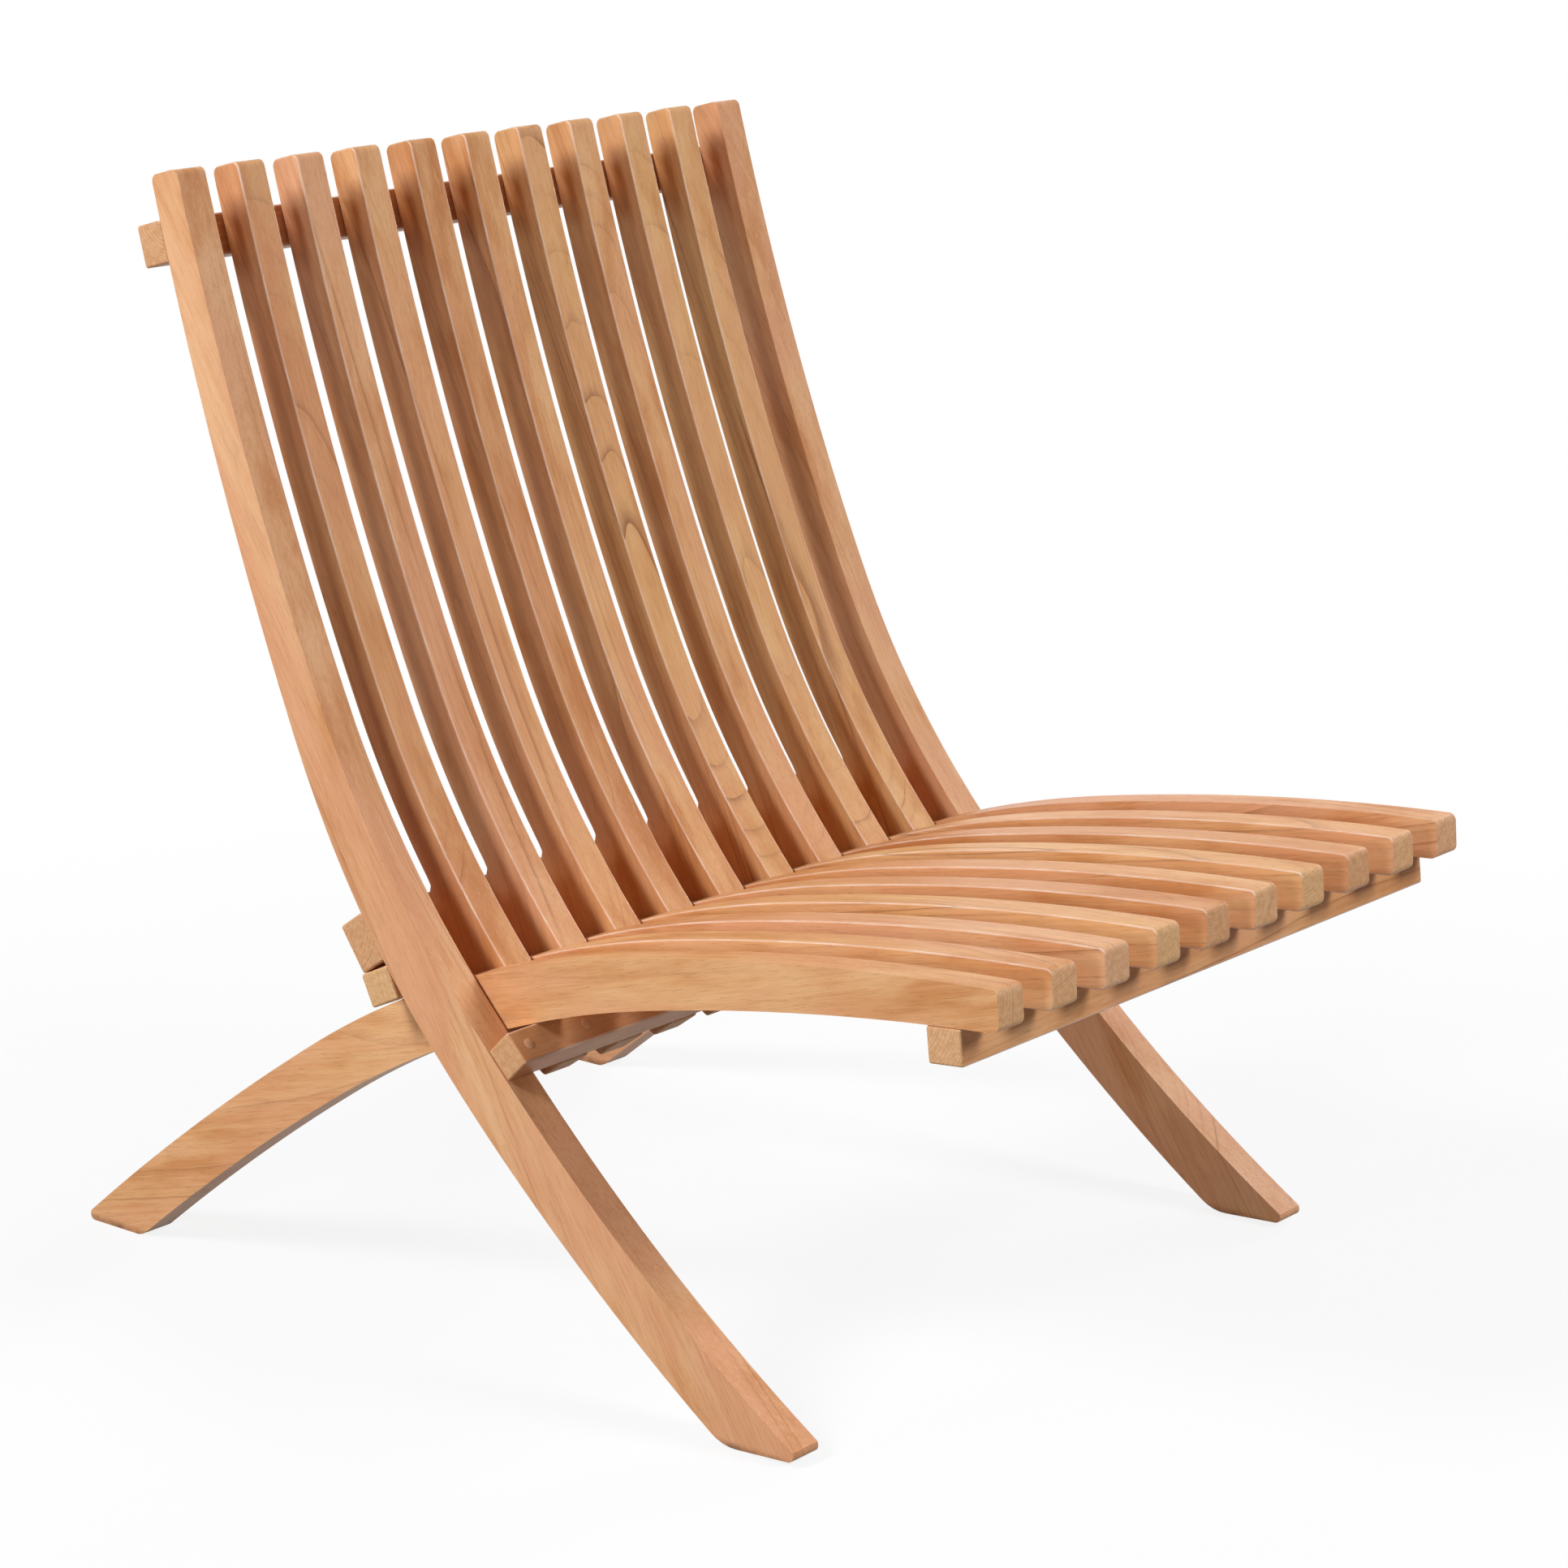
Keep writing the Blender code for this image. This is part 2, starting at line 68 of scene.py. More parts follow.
class SideCurve:
    """Side view of a slat, as (y, z) at a length s from the pivot along its middle.

    It leaves the pivot at a heading and follows arcs, each a length and a radius, both ahead
    and behind. Its depths are marks, each a place s and the depth there.
    """

    def __init__(self, heading, ahead, behind, depths):
        self.heading, self.ahead, self.behind, self.depths = heading, ahead, behind, depths

    def middle(self, s):
        y, z, heading, left = PIVOT.y, PIVOT.z, self.heading, abs(s)
        sign = 1 if s >= 0 else -1
        for length, radius in self.ahead if s >= 0 else self.behind:
            step = min(left, length)
            chord = sign * 2 * radius * math.sin(step / (2 * radius))
            direction = heading + sign * step / (2 * radius)
            y += chord * math.cos(direction)
            z += chord * math.sin(direction)
            heading += sign * step / radius
            left -= step
        return y, z, heading

    def depth(self, s):
        """Smooth from mark to mark, and even up to the first."""
        marks = self.depths
        if s <= marks[0][0]:
            return marks[0][1]
        slopes = [0.0]
        for low, high in zip(marks, marks[2:] + marks[-1:]):
            slopes.append((high[1] - low[1]) / (high[0] - low[0]))
        for number in range(len(marks) - 1):
            (s0, d0), (s1, d1) = marks[number : number + 2]
            if s <= s1:
                break
        t = min(1.0, (s - s0) / (s1 - s0))
        bend = slopes[number] * t * (1 - t) ** 2 - slopes[number + 1] * t * t * (1 - t)
        return d0 * (1 + 2 * t) * (1 - t) ** 2 + d1 * t * t * (3 - 2 * t) + (s1 - s0) * bend

    def edge(self, s, side):
        """Side 1 is the hollow edge, -1 the crowned one."""
        y, z, heading = self.middle(s)
        out = heading + math.pi / 2
        half = side * self.depth(s) / 2
        return (y + half * math.cos(out), z + half * math.sin(out))

    def run(self, side, start, end):
        count = math.ceil((end - start) / POINT_STEP)
        return [self.edge(start + (end - start) * n / count, side) for n in range(count + 1)]

    def down_to(self, height, side):
        """Where that edge of the leg comes down to a height over the floor."""
        low, high = PAST_ANY_FOOT, 0.0
        for _ in range(40):
            half_way = (low + high) / 2
            if self.edge(half_way, side)[1] < height:
                low = half_way
            else:
                high = half_way
        return half_way


def rounded(corners):
    """An outline from (point, radius) pairs, with an arc at each corner that has a radius."""
    outline = []
    for number, (corner, radius) in enumerate(corners):
        if radius == 0:
            outline.append(corner)
            continue
        corner = Vector(corner)
        back = (Vector(corners[number - 1][0]) - corner).normalized()
        on = (Vector(corners[(number + 1) % len(corners)][0]) - corner).normalized()
        half = back.angle(on) / 2
        centre = corner + (back + on).normalized() * (radius / math.sin(half))
        start = corner + back * (radius / math.tan(half)) - centre
        turn = math.pi - 2 * half
        if back.x * on.y - back.y * on.x > 0:
            turn = -turn
        steps = max(3, math.ceil(abs(turn) / CORNER_STEP))
        for step in range(steps + 1):
            arm = Matrix.Rotation(turn * step / steps, 2) @ start
            outline.append(tuple(centre + arm))
    return outline


def slat_outline(one, other, one_round, other_round):
    """Up one edge, over the end and down the other edge."""
    one = [(point, 0) for point in one]
    other = [(point, 0) for point in other]
    one[0], other[0] = (one[0][0], one_round), (other[0][0], other_round)
    one[-1], other[-1] = (one[-1][0], END_ROUND), (other[-1][0], END_ROUND)
    return rounded(one + other[::-1])


def sawn_slat(name, outline):
    """The outline is drawn with single points, filled, and pushed out to the slat's width."""
    bpy.ops.object.select_all(action="DESELECT")
    place = (-SLAT_WIDTH / 2, *outline[0])
    bpy.ops.mesh.primitive_plane_add(size=0.001, location=place)
    piece = bpy.context.object
    piece.name = name
    bpy.ops.object.mode_set(mode="EDIT")
    bpy.ops.mesh.merge(type="CENTER")
    for (y0, z0), (y1, z1) in zip(outline, outline[1:]):
        step = (0.0, y1 - y0, z1 - z0)
        bpy.ops.mesh.extrude_region_move(TRANSFORM_OT_translate={"value": step})
    bpy.ops.mesh.select_all(action="SELECT")
    bpy.ops.mesh.edge_face_add()
    bpy.ops.mesh.extrude_region_move(TRANSFORM_OT_translate={"value": (SLAT_WIDTH, 0, 0)})
    bpy.ops.mesh.select_all(action="SELECT")
    bpy.ops.mesh.normals_make_consistent(inside=False)
    bpy.ops.object.mode_set(mode="OBJECT")
    bpy.ops.object.transform_apply()
    round_over(piece, ARRIS)
    return piece


def round_over(piece, width):
    """Rounds the edges, and keeps the flat faces flat under smooth shading."""
    bevel = piece.modifiers.new("arris", "BEVEL")
    bevel.width = width
    bevel.segments = ARRIS_STEPS
    bevel.limit_method = "ANGLE"
    bevel.angle_limit = SHARP
    bpy.ops.object.modifier_apply(modifier="arris")
    bpy.ops.object.shade_smooth()
    piece.modifiers.new("flats", "WEIGHTED_NORMAL")
    bpy.ops.object.modifier_apply(modifier="flats")


class Wire:
    """An output in a material. Arithmetic on it adds Math nodes."""

    def __init__(self, tree, socket=None):
        self.tree, self.socket = tree, socket

    def node(self, kind, settings, inputs, output=0):
        """Adds a node: its settings first, then the values or links of its sockets."""
        made = self.tree.nodes.new(kind)
        for name, value in settings.items():
            if name == "stops":
                ramp = made.color_ramp.elements
                for number, (place, colour) in enumerate(value):
                    stop = ramp[number] if number < 2 else ramp.new(place)
                    stop.position, stop.color = place, (*colour, 1.0)
            else:
                setattr(made, name, value)
        for name, value in inputs.items():
            if isinstance(value, Wire):
                self.tree.links.new(value.socket, made.inputs[name])
            else:
                made.inputs[name].default_value = value
        return Wire(self.tree, made.outputs[output] if len(made.outputs) else None)

    def math(self, operation, *others):
        inputs = dict(enumerate((self, *others)))
        return self.node("ShaderNodeMath", {"operation": operation}, inputs)

    def __add__(self, other):
        return self.math("ADD", other)

    def __sub__(self, other):
        return self.math("SUBTRACT", other)

    def __rsub__(self, other):
        return (self * -1) + other

    def __mul__(self, other):
        return self.math("MULTIPLY", other)

    def __truediv__(self, other):
        return self.math("DIVIDE", other)

    def __pow__(self, other):
        return self.math("POWER", other)

    __radd__, __rmul__ = __add__, __mul__

    def between(self, low, high):
        """0 below low, 1 above high, smooth in between."""
        settings = {"interpolation_type": "SMOOTHSTEP"}
        inputs = {"Value": self, "From Min": low, "From Max": high}
        return self.node("ShaderNodeMapRange", settings, inputs)

    def stretched(self, x, y, z):
        inputs = {0: self, 1: (x, y, z)}
        return self.node("ShaderNodeVectorMath", {"operation": "MULTIPLY"}, inputs)

    def length(self):
        return self.node("ShaderNodeVectorMath", {"operation": "LENGTH"}, {0: self}, "Value")

    def part(self, number):
        return self.node("ShaderNodeSeparateXYZ", {}, {0: self}, number)

    def noise(self, detail=2.0, roughness=0.5):
        inputs = {"Vector": self, "Scale": 1.0, "Detail": detail, "Roughness": roughness}
        return self.node("ShaderNodeTexNoise", {}, inputs)

    def choose(self, one, other):
        """A colour that goes from one to the other as this goes from 0 to 1."""
        inputs = {0: self, 6: (*one, 1), 7: (*other, 1)}
        return self.node("ShaderNodeMix", {"data_type": "RGBA"}, inputs, 2)

    def tint(self, factor, other, how="MIX"):
        """This colour mixed with another by a factor."""
        other = other if isinstance(other, Wire) else (*other, 1)
        settings = {"data_type": "RGBA", "blend_type": how}
        return self.node("ShaderNodeMix", settings, {0: factor, 6: self, 7: other}, 2)

    def bump(self, strength, distance):
        inputs = {"Height": self, "Strength": strength, "Distance": distance}
        return self.node("ShaderNodeBump", {}, inputs)


def bare(made):
    """A new material or world, cleared for its own nodes."""
    made.use_nodes = True
    made.node_tree.nodes.clear()
    return Wire(made.node_tree)


def surface(start, **sockets):
    """Ends a material in one shader with these sockets, their names with _ for a space."""
    sockets = {name.replace("_", " "): value for name, value in sockets.items()}
    shader = start.node("ShaderNodeBsdfPrincipled", {}, sockets)
    start.node("ShaderNodeOutputMaterial", {}, {"Surface": shader})


# Growth rings: how far apart they lie along a board and on its ends, how far they wander, and
# how fast the trunk narrows
RING_GAP, END_RING_GAP = 0.0056, 0.0023
SWAY, RIPPLE, NARROWING = 0.022, 0.003, 0.012


def teak(name, light, middle, deep, line, pink, straw, end_pale, end_warm, end_dark, painted_edge_highlight, floor_band_colour):
    """Oiled teak as solid wood: rings round the tree's pith, fibres and pores along it.

    A piece's board attribute is its place in the tree, in metres, with the pith along Z. Its cast
    attribute is its board's own hue. Its third attribute holds rounded edges, end grain and how
    strong the figure is. The rounded edges carry a painted highlight.
    """
    made = bpy.data.materials.new(name)
    start = bare(made)
    board, cast, edge_end_figure = (
        start.node("ShaderNodeAttribute", {"attribute_name": mark}, {}, "Vector")
        for mark in ("board", "cast", "edge_end_figure")
    )
    arris, end, figure = edge_end_figure.part(0), edge_end_figure.part(1), edge_end_figure.part(2)

    # Growth rings, wavy along the trunk, unevenly wide and stronger in some years
    sway = board.stretched(7, 7, 1.5).noise()
    ripple = board.stretched(24, 24, 6).noise()
    from_pith = board.stretched(1, 1, 0).length()
    radius = from_pith + (sway - 0.5) * SWAY + (ripple - 0.5) * RIPPLE + board.part(2) * NARROWING
    single = {"noise_dimensions": "1D"}
    uneven = start.node("ShaderNodeTexNoise", single, {"W": radius * 45, "Scale": 1.0})
    rings = radius / RING_GAP + uneven * 2.4
    through = rings.math("FRACT")
    year = start.node("ShaderNodeTexWhiteNoise", single, {"W": rings - through})
    faded = board.stretched(30, 30, 5).noise().between(0.36, 0.62)
    line_of_pores = (1 - through) ** 8 * (0.12 + 1.1 * year ** 2)
    late_wood = through ** 2 * (0.3 + 0.7 * year)
    figure = figure * (0.25 + 0.75 * faded)

    # Colour drifts along the board in soft patches, with fibres and flecks drawn out on it
    drift = board.stretched(16, 16, 3.5).noise(3.0)
    patch = board.stretched(60, 60, 14).noise(3.0, 0.55)
    hue = board.stretched(24, 24, 7).noise()
    streak = board.stretched(420, 420, 10).noise(3.0, 0.6)
    fibre = board.stretched(950, 950, 42).noise(2.0, 0.6)
    flecks = board.stretched(1250, 1250, 95).noise(1.0).between(0.62, 0.73)
    pale = board.stretched(800, 800, 60).noise(1.0).between(0.66, 0.76)

    colour = start.node(
        "ShaderNodeValToRGB",
        {"stops": [(0.40, deep), (0.50, middle), (0.59, light)]},
        {"Fac": drift * 0.55 + patch * 0.45},
    )
    colour = colour.tint(hue.between(0.44, 0.60) * 0.7, pink)
    colour = colour.tint(late_wood * figure * 0.35, deep)
    colour = colour.tint((line_of_pores * figure * 0.85).math("MINIMUM", 0.8), line)
    colour = colour.tint(streak.between(0.50, 0.70) * 0.34, deep)
    colour = colour.tint((1 - streak.between(0.30, 0.48)) * 0.42, light)
    colour = colour.tint(fibre.between(0.52, 0.70) * 0.18, line)
    colour = colour.tint(flecks * (0.16 + 0.3 * line_of_pores), line)
    colour = colour.tint(pale * 0.16, straw)
    colour = colour.tint(1.0, cast, "MULTIPLY")

    # End grain is paler and greyer, with close rings and open pores
    dots = board.stretched(1200, 1200, 1200).noise(1.0).between(0.54, 0.68)
    rays = board.stretched(240, 240, 40).noise(3.0, 0.6)
    end_colour = rays.between(0.35, 0.65).choose(end_pale, end_warm)
    close_ring = (radius / END_RING_GAP + uneven * 3).math("FRACT")
    end_rings = (1 - close_ring) ** 4 * 0.5 + line_of_pores * 0.6 + dots * 0.22
    end_colour = end_colour.tint(end_rings.math("MINIMUM", 0.85) * 0.8, end_dark)
    end_colour = end_colour.tint(1.0, cast, "MULTIPLY")
    colour = colour.tint(end, end_colour)

    # Rounded edges are worn smoother, and a painted highlight makes them paler.
    # The feet are darker and rougher within a few millimetres of the floor.
    patchy_rub_and_highlight = board.stretched(110, 110, 24).noise(3.0, 0.65).between(0.45, 0.62)
    rub_and_highlight = arris * (0.55 + 0.45 * patchy_rub_and_highlight)
    colour = colour.tint(rub_and_highlight * 0.7, painted_edge_highlight)
    # The feet darken and roughen in patches within a few millimetres of the floor
    height = start.node("ShaderNodeTexCoord", {}, {}, "Object").part(2)
    floor_band_patches = board.stretched(90, 90, 90).noise(3.0).between(0.3, 0.7)
    floor_band_mask = (1 - height.between(0.001, 0.007)) * (0.4 + 0.6 * floor_band_patches)
    colour = colour.tint(floor_band_mask * 0.75, floor_band_colour)

    rough = 0.38 + streak * 0.12 + end * 0.14 + flecks * 0.10 + floor_band_mask * 0.2 - rub_and_highlight * 0.14
    relief = streak * 0.6 + fibre * 0.25 - line_of_pores * figure * 0.5 - flecks * 0.6
    relief = relief - end * dots * 0.5 + patch * 1.8
    bump = relief.bump(strength=0.5, distance=0.0004)
    surface(start, Base_Color=colour, Roughness=rough, Normal=bump, Specular_IOR_Level=0.16)
    return made


TEAK = teak(
    "oiled_teak",
    light=(0.85, 0.495, 0.245),
    middle=(0.79, 0.42, 0.19),
    deep=(0.66, 0.295, 0.11),
    line=(0.27, 0.085, 0.025),
    pink=(0.79, 0.395, 0.20),
    straw=(0.88, 0.58, 0.31),
    end_pale=(0.83, 0.50, 0.27),
    end_warm=(0.73, 0.40, 0.19),
    end_dark=(0.38, 0.19, 0.085),
    # pale colour of the painted highlight along the rounded edges
    painted_edge_highlight=(0.97, 0.80, 0.66),
    # colour that the feet darken to just above the floor
    floor_band_colour=(0.115, 0.042, 0.022),
)

# How boards differ: pink heartwood, plain honey, yellow straw, and browner wood
CASTS = {
    "pink": (1.0, 0.97, 1.0),
    "honey": (1.0, 0.965, 0.91),
    "straw": (1.0, 1.01, 0.91),
    "brown": (0.92, 0.84, 0.77),
}
TRUNK = 40
luck = random.Random(7)


def from_board(piece, along, cast, turn, pith, figure=1.0, face=(1, 0, 0)):
    """Marks which part of a tree a piece is cut from. Along is the run of its grain, face the way
    that a sawn face looks, turn the way to the pith round the grain, in degrees, pith how far off
    it is, and figure how strongly the rings show."""
    mesh = piece.data
    points = np.empty(len(mesh.vertices) * 3)
    mesh.vertices.foreach_get("co", points)
    points = points.reshape(-1, 3)
    corners = np.empty(len(mesh.loops) * 3)
    mesh.corner_normals.foreach_get("vector", corners)
    owners = np.empty(len(mesh.loops), dtype=int)
    mesh.loops.foreach_get("vertex_index", owners)
    normals = np.zeros_like(points)
    normals[owners] = corners.reshape(-1, 3)

    along = Vector(along).normalized()
    first = Vector(face).normalized()
    ways = np.array([first, along.cross(first), along])
    middle = (points.min(0) + points.max(0)) / 2
    inside = (points - middle) @ ways.T
    angle = math.radians(turn)
    spin = np.array([[math.cos(angle), -math.sin(angle)], [math.sin(angle), math.cos(angle)]])
    inside[:, :2] = inside[:, :2] @ spin.T + (pith, 0)
    inside[:, 2] += luck.uniform(0, TRUNK)

    # Rounded edges look between two of the sawn faces, and end grain looks along the board. The
    # rounded edges get a painted highlight in the material, and a smoother finish.
    facing = normals @ ways.T
    edge_end_figure = np.zeros((len(points), 3))
    lengthways = np.linalg.norm(facing[:, :2], axis=1)
    squareness = np.abs(facing[:, 0] * facing[:, 1]) / np.maximum(lengthways, 1e-6) ** 2
    edge_end_figure[:, 0] = np.clip(2 * squareness, 0, 1) ** 1.5 * np.clip(2 * lengthways, 0, 1)
    edge_end_figure[:, 1] = np.clip((np.abs(facing[:, 2]) - 0.55) / 0.3, 0, 1)
    edge_end_figure[:, 2] = figure
    casts = np.tile(CASTS[cast], (len(points), 1))
    for name, values in {"board": inside, "edge_end_figure": edge_end_figure, "cast": casts}.items():
        layer = mesh.attributes.new(name, "FLOAT_VECTOR", "POINT")
        layer.data.foreach_set("vector", values.astype(np.float32).ravel())
    mesh.materials.clear()
    mesh.materials.append(TEAK)


def copied(model, name, place):
    """A copy of a model with its own mesh, and its place in that mesh."""
    piece = model.copy()
    piece.data = model.data.copy()
    bpy.context.scene.collection.objects.link(piece)
    piece.name = piece.data.name = name
    piece.data.transform(place)
    return piece


def set_slat(model, node, x, body, **board):
    """One slat, copied from its model to its place in the frame."""
    piece = copied(model, f"{node}_board", Matrix.Translation((x, 0, 0)))
    from_board(piece, **board)
    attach(piece, body)
    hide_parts(node)


BACK_LENGTH = 0.617
BEYOND_ALL = 9.0
BACK = SideCurve(
    heading=math.radians(48),
    ahead=[(0.224, 0.680), (BEYOND_ALL, 2.540)],
    behind=[(BEYOND_ALL, 1.440)],
    depths=[(-0.240, 0.042), (0.0, 0.044), (0.265, 0.0335), (BACK_LENGTH, 0.0265)],
)
front_leg = slat_outline(
    BACK.run(1, BACK.down_to(FRONT_TOE_LIFT, 1), BACK_LENGTH),
    BACK.run(-1, BACK.down_to(0, -1), BACK_LENGTH),
    TOE_ROUND,
    FRONT_HEEL_ROUND,
)
model = sawn_slat("front_leg_model", front_leg)
up_the_leg = (0.0, 0.62, 1.0)
set_slat(model, "back_slat_01_front_leg", -5 * PITCH, "back_frame",
         along=up_the_leg, cast="pink", turn=20, pith=0.16, figure=0.8)
set_slat(model, "back_slat_11_front_leg", 5 * PITCH, "back_frame",
         along=up_the_leg, cast="pink", turn=65, pith=0.13, figure=0.9)
bpy.data.objects.remove(model, do_unlink=True)


# Inner back slats
# Nine shorter slats of the same curve, sawn thinner on the rear side between the two rails behind
# the back. They stop under the crossing, flush with the rail that joins them there.

UNDER_RAIL_LOW = -0.0667
PAST_RAIL = 0.0005
INNER_TAPER_FROM = 0.010
INNER_END_DEPTH = 0.024
INNER_END_RISE = 0.004
INNER_END_ROUND = 0.003
THIN_DEPTH = 0.0268
THIN_FROM, THIN_TO = 0.079, 0.095
THIN_STEP = 0.006


def thin_rear(s):
    """The rear edge of an inner back slat at s. The front edge keeps its line."""
    y, z, heading = BACK.middle(s)
    full = BACK.depth(s)
    part = min(1.0, max(0.0, (s - THIN_FROM) / (THIN_TO - THIN_FROM)))
    depth = full + (min(full, THIN_DEPTH) - full) * part * part * (3 - 2 * part)
    out = heading + math.pi / 2
    return y + (full / 2 - depth) * math.cos(out), z + (full / 2 - depth) * math.sin(out)


def inner_outline(curve, start, length, rail_side, other_edge):
    """A slat cut off at its rail, and thinned towards that end on the side off the rail."""
    heading = curve.middle(start)[2]
    held = curve.run(rail_side, start, length)
    across = heading - rail_side * math.pi / 2
    tip = (
        held[0][0] + INNER_END_DEPTH * math.cos(across) + INNER_END_RISE * math.cos(heading),
        held[0][1] + INNER_END_DEPTH * math.sin(across) + INNER_END_RISE * math.sin(heading),
    )
    count = math.ceil((length - INNER_TAPER_FROM) / THIN_STEP)
    rise = (length - INNER_TAPER_FROM) / count
    thinned = [tip, *(other_edge(INNER_TAPER_FROM + rise * n) for n in range(count + 1))]
    return slat_outline(held, thinned, INNER_END_ROUND, INNER_END_ROUND)


inner_back = inner_outline(BACK, UNDER_RAIL_LOW - PAST_RAIL, BACK_LENGTH, 1, thin_rear)
model = sawn_slat("back_slat_model", inner_back)
up_the_back = (0.0, 0.45, 1.0)
back_casts = ["brown", "pink", "honey", "brown", "honey", "straw", "honey", "straw", "straw"]
back_turns = [80, 30, 55, 70, 15, 88, 85, 90, 78]
for number, (cast, turn) in enumerate(zip(back_casts, back_turns), start=2):
    set_slat(model, f"back_slat_{number:02d}", (number - 6) * PITCH, "back_frame",
             along=up_the_back, cast=cast, turn=turn, pith=luck.uniform(0.05, 0.16),
             figure=1.35 if cast == "straw" else 0.9)
bpy.data.objects.remove(model, do_unlink=True)


# Outer seat slats
# Two planks that lie between the outer back slats and the rest. Each is a side of the seat and,
# behind the crossing, a rear leg. They are sawn and rounded like the back slats.

SEAT_LENGTH = 0.463
REAR_HEEL_ROUND = 0.016
SEAT = SideCurve(
    heading=math.radians(158),
    ahead=[(0.153, 0.868), (BEYOND_ALL, 2.090)],
    behind=[(0.165, 0.868), (BEYOND_ALL, 2.550)],
    depths=[(-0.240, 0.041), (0.0, 0.041), (0.150, 0.036), (SEAT_LENGTH, 0.028)],
)
rear_leg = slat_outline(
    SEAT.run(-1, SEAT.down_to(0, -1), SEAT_LENGTH),
    SEAT.run(1, SEAT.down_to(0, 1), SEAT_LENGTH),
    TOE_ROUND,
    REAR_HEEL_ROUND,
)
model = sawn_slat("rear_leg_model", rear_leg)
along_the_leg = (0.0, -1.0, 0.27)
set_slat(model, "seat_slat_01_rear_leg", -4.5 * PITCH, "seat_frame",
         along=along_the_leg, cast="honey", turn=25, pith=0.12, figure=0.8)
set_slat(model, "seat_slat_10_rear_leg", 4.5 * PITCH, "seat_frame",
         along=along_the_leg, cast="pink", turn=60, pith=0.10, figure=0.9)
bpy.data.objects.remove(model, do_unlink=True)


# Inner seat slats
# Eight slats of the seat's curve, which fill the gaps between the back slats and turn on the
# same rod. They stop at the rail behind the back.

REAR_RAIL_LOW = -0.0620


def full_upper(s):
    """The upper edge of a seat slat at s, at its full depth."""
    return SEAT.edge(s, 1)


inner_seat = inner_outline(SEAT, REAR_RAIL_LOW - PAST_RAIL, SEAT_LENGTH, -1, full_upper)
model = sawn_slat("seat_slat_model", inner_seat)
along_the_seat = (0.0, -1.0, 0.18)
seat_casts = ["honey", "pink", "straw", "brown", "honey", "straw", "brown", "honey"]
seat_turns = [70, 40, 60, 85, 35, 75, 50, 80]
for number, (cast, turn) in enumerate(zip(seat_casts, seat_turns), start=2):
    set_slat(model, f"seat_slat_{number:02d}", (number - 5.5) * PITCH, "seat_frame",
             along=along_the_seat, cast=cast, turn=turn, pith=luck.uniform(0.04, 0.12))
bpy.data.objects.remove(model, do_unlink=True)


# Rails
# Five straight bars of the same teak, laid across the slats and screwed to each. Their ends are
# sawn square, flush with the outer slats, and show the rings.

HALF_WIDTH = 5 * PITCH + SLAT_WIDTH / 2
SEAT_HALF_WIDTH = HALF_WIDTH - PITCH / 2
TOUCH = 0.0003
RAIL_ARRIS = 0.0019


def fit_rail(node, body, curve, at, side, height, depth, half_length, **board):
    """A bar that lies on one edge of the slats. Returns the middle of its outer face, and the
    way that face looks, for its plugs."""
    low, high = curve.edge(at - height / 2, side), curve.edge(at + height / 2, side)
    lie = math.atan2(high[1] - low[1], high[0] - low[0])
    out = lie + side * math.pi / 2
    off = TOUCH + depth / 2
    y = (low[0] + high[0]) / 2 + off * math.cos(out)
    z = (low[1] + high[1]) / 2 + off * math.sin(out)
    bpy.ops.object.select_all(action="DESELECT")
    bpy.ops.mesh.primitive_cube_add(
        size=1, location=(0, y, z), rotation=(lie, 0, 0), scale=(2 * half_length, height, depth)
    )
    piece = bpy.context.object
    piece.name = piece.data.name = f"{node}_bar"
    bpy.ops.object.transform_apply()
    round_over(piece, RAIL_ARRIS)
    from_board(piece, along=(1, 0, 0), face=(0, math.cos(out), math.sin(out)), **board)
    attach(piece, body)
    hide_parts(node)
    face = Vector((0, y + depth / 2 * math.cos(out), z + depth / 2 * math.sin(out)))
    return face, Vector((0, math.cos(out), math.sin(out)))


top_rail = fit_rail(
    "top_back_rail", "back_frame", BACK, at=0.571, side=-1, height=0.030, depth=0.025,
    half_length=HALF_WIDTH, cast="brown", turn=40, pith=0.035, figure=1.2)
lower_rail = fit_rail(
    "lower_back_rail", "back_frame", BACK, at=0.0748, side=-1, height=0.037, depth=0.0245,
    half_length=HALF_WIDTH, cast="brown", turn=120, pith=0.03, figure=1.2)
under_rail = fit_rail(
    "under_seat_rail", "back_frame", BACK, at=-0.0542, side=1, height=0.025, depth=0.024,
    half_length=HALF_WIDTH, cast="brown", turn=10, pith=0.08)
front_rail = fit_rail(
    "front_seat_rail", "seat_frame", SEAT, at=0.4185, side=1, height=0.028, depth=0.025,
    half_length=SEAT_HALF_WIDTH, cast="honey", turn=60, pith=0.04, figure=1.1)
rear_rail = fit_rail(
    "rear_seat_rail", "seat_frame", SEAT, at=-0.04825, side=-1, height=0.0275, depth=0.0245,
    half_length=HALF_WIDTH, cast="straw", turn=80, pith=0.10)


# Screw plugs
# Short pegs of teak, glued over the screws that hold each rail to each slat, one per crossing.
# They are pared off nearly flush, and their grain doesn't quite line up with the rail's.

PLUG_RADIUS = 0.004
PLUG_LENGTH = 0.002
PLUG_SIDES = 24
PLUG_ARRIS = 0.0003
PLUG_PROUD = 0.0003


